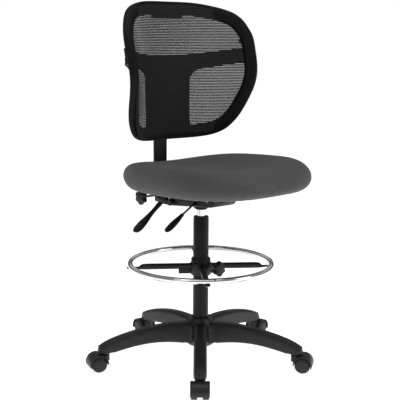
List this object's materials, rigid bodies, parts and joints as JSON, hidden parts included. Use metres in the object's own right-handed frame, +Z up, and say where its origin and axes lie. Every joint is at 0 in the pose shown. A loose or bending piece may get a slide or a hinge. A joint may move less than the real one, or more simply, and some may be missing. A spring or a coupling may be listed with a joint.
{
  "type": "drafting chair",
  "caption": "Armless drafting chair: saddle-shaped fabric seat, curved mesh back on a J-bar, tall gas-lift column, sliding chrome foot ring and a five-star base on twin-wheel casters.",
  "frame": {"origin": "on the floor, under the middle of the chair's bounding box", "axes": "+Z up, the sitter faces -Y, +X is the sitter's left"},
  "size_m": [0.7233, 0.7107, 1.158],
  "materials": {
    "base_nylon": "fine moulded grain",
    "black_plastic": "satin moulded",
    "black_paint": "semi-gloss powder coat",
    "chrome": "polished",
    "zinc_steel": "zinc plated",
    "grey_fabric": "woven",
    "black_net": "open knitted net",
    "plywood": "bare"
  },
  "bodies": {
    "base": {"star_base": "base_nylon", "column_tube": "black_paint", "column_bushing": "black_plastic", "thrust_bearing": "zinc_steel", "caster_stem_1": "zinc_steel", "caster_stem_2": "zinc_steel", "caster_stem_3": "zinc_steel", "caster_stem_4": "zinc_steel", "caster_stem_5": "zinc_steel"},
    "lift_rod": {"piston_rod": "chrome", "rod_clip": "zinc_steel"},
    "seat": {"gas_cylinder": "chrome", "mechanism_housing": "black_paint", "mechanism_plate": "black_paint", "seat_board": "plywood", "seat_cushion": "grey_fabric"},
    "release_button": {"release_button": "zinc_steel"},
    "height_lever": {"height_lever_rod": "black_paint", "height_lever_handle": "black_plastic"},
    "back_lever": {"back_lever_paddle": "black_plastic", "back_lever_pin": "zinc_steel"},
    "tilt_carrier": {"tilt_carrier": "black_paint", "tilt_pin": "zinc_steel"},
    "depth_knob": {"depth_clamp_stud": "zinc_steel", "depth_clamp_knob": "black_plastic"},
    "j_bar": {"j_bar": "black_paint"},
    "back": {"back_bracket": "black_plastic", "back_panel": "black_plastic", "back_frame": "black_plastic", "back_mesh": "black_net"},
    "height_knob": {"height_clamp_stud": "zinc_steel", "height_clamp_knob": "black_plastic"},
    "foot_ring": {"foot_ring": "chrome", "foot_ring_spider": "black_plastic", "foot_ring_screw_1": "zinc_steel", "foot_ring_screw_2": "zinc_steel", "foot_ring_screw_3": "zinc_steel", "foot_ring_screw_4": "zinc_steel"},
    "ring_knob": {"foot_ring_clamp_stud": "zinc_steel", "foot_ring_clamp_knob": "black_plastic"},
    "caster_1": {"caster_hood_1": "base_nylon", "caster_axle_1": "zinc_steel"},
    "caster_1_left": {"caster_wheel_left_1": "base_nylon"},
    "caster_1_right": {"caster_wheel_right_1": "base_nylon"},
    "caster_2": {"caster_hood_2": "base_nylon", "caster_axle_2": "zinc_steel"},
    "caster_2_left": {"caster_wheel_left_2": "base_nylon"},
    "caster_2_right": {"caster_wheel_right_2": "base_nylon"},
    "caster_3": {"caster_hood_3": "base_nylon", "caster_axle_3": "zinc_steel"},
    "caster_3_left": {"caster_wheel_left_3": "base_nylon"},
    "caster_3_right": {"caster_wheel_right_3": "base_nylon"},
    "caster_4": {"caster_hood_4": "base_nylon", "caster_axle_4": "zinc_steel"},
    "caster_4_left": {"caster_wheel_left_4": "base_nylon"},
    "caster_4_right": {"caster_wheel_right_4": "base_nylon"},
    "caster_5": {"caster_hood_5": "base_nylon", "caster_axle_5": "zinc_steel"},
    "caster_5_left": {"caster_wheel_left_5": "base_nylon"},
    "caster_5_right": {"caster_wheel_right_5": "base_nylon"}
  },
  "joints": [
    {"name": "seat_swivel", "type": "hinge", "parent": "base", "child": "lift_rod", "pos_m": [-0.0083, -0.0165, 0.062], "axis": [0, 0, 1], "continuous": true},
    {"name": "seat_height", "type": "slide", "parent": "lift_rod", "child": "seat", "axis": [0, 0, 1], "range_m": [0, 0.2]},
    {"name": "release_button", "type": "slide", "parent": "seat", "child": "release_button", "axis": [0, 0, -1], "range_m": [0, 0.0031]},
    {"name": "height_lever", "type": "hinge", "parent": "seat", "child": "height_lever", "pos_m": [-0.0583, -0.0465, 0.535], "axis": [0, 1, 0], "range_deg": [0, 3.2]},
    {"name": "back_lever", "type": "hinge", "parent": "seat", "child": "back_lever", "pos_m": [-0.0613, 0.0695, 0.518], "axis": [1, 0, 0], "range_deg": [0, 15]},
    {"name": "back_tilt", "type": "hinge", "parent": "seat", "child": "tilt_carrier", "pos_m": [-0.0083, 0.0815, 0.53], "axis": [-1, 0, 0], "range_deg": [0, 14]},
    {"name": "depth_knob", "type": "hinge", "parent": "tilt_carrier", "child": "depth_knob", "pos_m": [-0.1203, 0.1485, 0.532], "axis": [1, 0, 0], "range_deg": [0, 360]},
    {"name": "back_depth", "type": "slide", "parent": "tilt_carrier", "child": "j_bar", "axis": [0, 1, 0], "range_m": [0, 0.03]},
    {"name": "back_height", "type": "slide", "parent": "j_bar", "child": "back", "axis": [0, 0, 1], "range_m": [-0.06, 0]},
    {"name": "height_knob", "type": "hinge", "parent": "back", "child": "height_knob", "pos_m": [-0.1263, 0.194, 0.966], "axis": [1, 0, 0], "range_deg": [0, 360]},
    {"name": "foot_ring_height", "type": "slide", "parent": "base", "child": "foot_ring", "axis": [0, 0, 1], "range_m": [-0.14, 0.08]},
    {"name": "ring_knob", "type": "hinge", "parent": "foot_ring", "child": "ring_knob", "pos_m": [0.00406, -0.09453, 0.319], "axis": [0.1564, -0.9877, 0], "range_deg": [0, 360]},
    {"name": "caster_1_swivel", "type": "hinge", "parent": "base", "child": "caster_1", "pos_m": [-0.21824, -0.25801, 0.045], "axis": [0, 0, 1], "continuous": true},
    {"name": "caster_1_left_roll", "type": "hinge", "parent": "caster_1", "child": "caster_1_left", "pos_m": [-0.22172, -0.28678, 0.025], "axis": [0.7547, -0.6561, 0], "continuous": true},
    {"name": "caster_1_right_roll", "type": "hinge", "parent": "caster_1", "child": "caster_1_right", "pos_m": [-0.24625, -0.26546, 0.025], "axis": [0.7547, -0.6561, 0], "continuous": true},
    {"name": "caster_2_swivel", "type": "hinge", "parent": "base", "child": "caster_2", "pos_m": [0.15651, -0.29079, 0.045], "axis": [0, 0, 1], "continuous": true},
    {"name": "caster_2_left_roll", "type": "hinge", "parent": "caster_2", "child": "caster_2_left", "pos_m": [0.18359, -0.30113, 0.025], "axis": [0.8192, 0.5736, 0], "continuous": true},
    {"name": "caster_2_right_roll", "type": "hinge", "parent": "caster_2", "child": "caster_2_right", "pos_m": [0.15697, -0.31977, 0.025], "axis": [0.8192, 0.5736, 0], "continuous": true},
    {"name": "caster_3_swivel", "type": "hinge", "parent": "base", "child": "caster_3", "pos_m": [0.3035, 0.05548, 0.045], "axis": [0, 0, 1], "continuous": true},
    {"name": "caster_3_left_roll", "type": "hinge", "parent": "caster_3", "child": "caster_3_left", "pos_m": [0.32323, 0.07672, 0.025], "axis": [-0.225, 0.9744, 0], "continuous": true},
    {"name": "caster_3_right_roll", "type": "hinge", "parent": "caster_3", "child": "caster_3_right", "pos_m": [0.33054, 0.04505, 0.025], "axis": [-0.225, 0.9744, 0], "continuous": true},
    {"name": "caster_4_swivel", "type": "hinge", "parent": "base", "child": "caster_4", "pos_m": [0.01959, 0.30228, 0.045], "axis": [0, 0, 1], "continuous": true},
    {"name": "caster_4_left_roll", "type": "hinge", "parent": "caster_4", "child": "caster_4_left", "pos_m": [0.00549, 0.32761, 0.025], "axis": [-0.9962, 0.0872, 0], "continuous": true},
    {"name": "caster_4_right_roll", "type": "hinge", "parent": "caster_4", "child": "caster_4_right", "pos_m": [0.03787, 0.32477, 0.025], "axis": [-0.9962, 0.0872, 0], "continuous": true},
    {"name": "caster_5_swivel", "type": "hinge", "parent": "base", "child": "caster_5", "pos_m": [-0.30286, 0.10853, 0.045], "axis": [0, 0, 1], "continuous": true},
    {"name": "caster_5_left_roll", "type": "hinge", "parent": "caster_5", "child": "caster_5_left", "pos_m": [-0.33056, 0.10001, 0.025], "axis": [-0.2924, -0.9563, 0], "continuous": true},
    {"name": "caster_5_right_roll", "type": "hinge", "parent": "caster_5", "child": "caster_5_right", "pos_m": [-0.32106, 0.13109, 0.025], "axis": [-0.2924, -0.9563, 0], "continuous": true}
  ],
  "couplings": [
    {"joint": "release_button", "follows": "height_lever", "m_per_rad": 0.053}
  ]
}
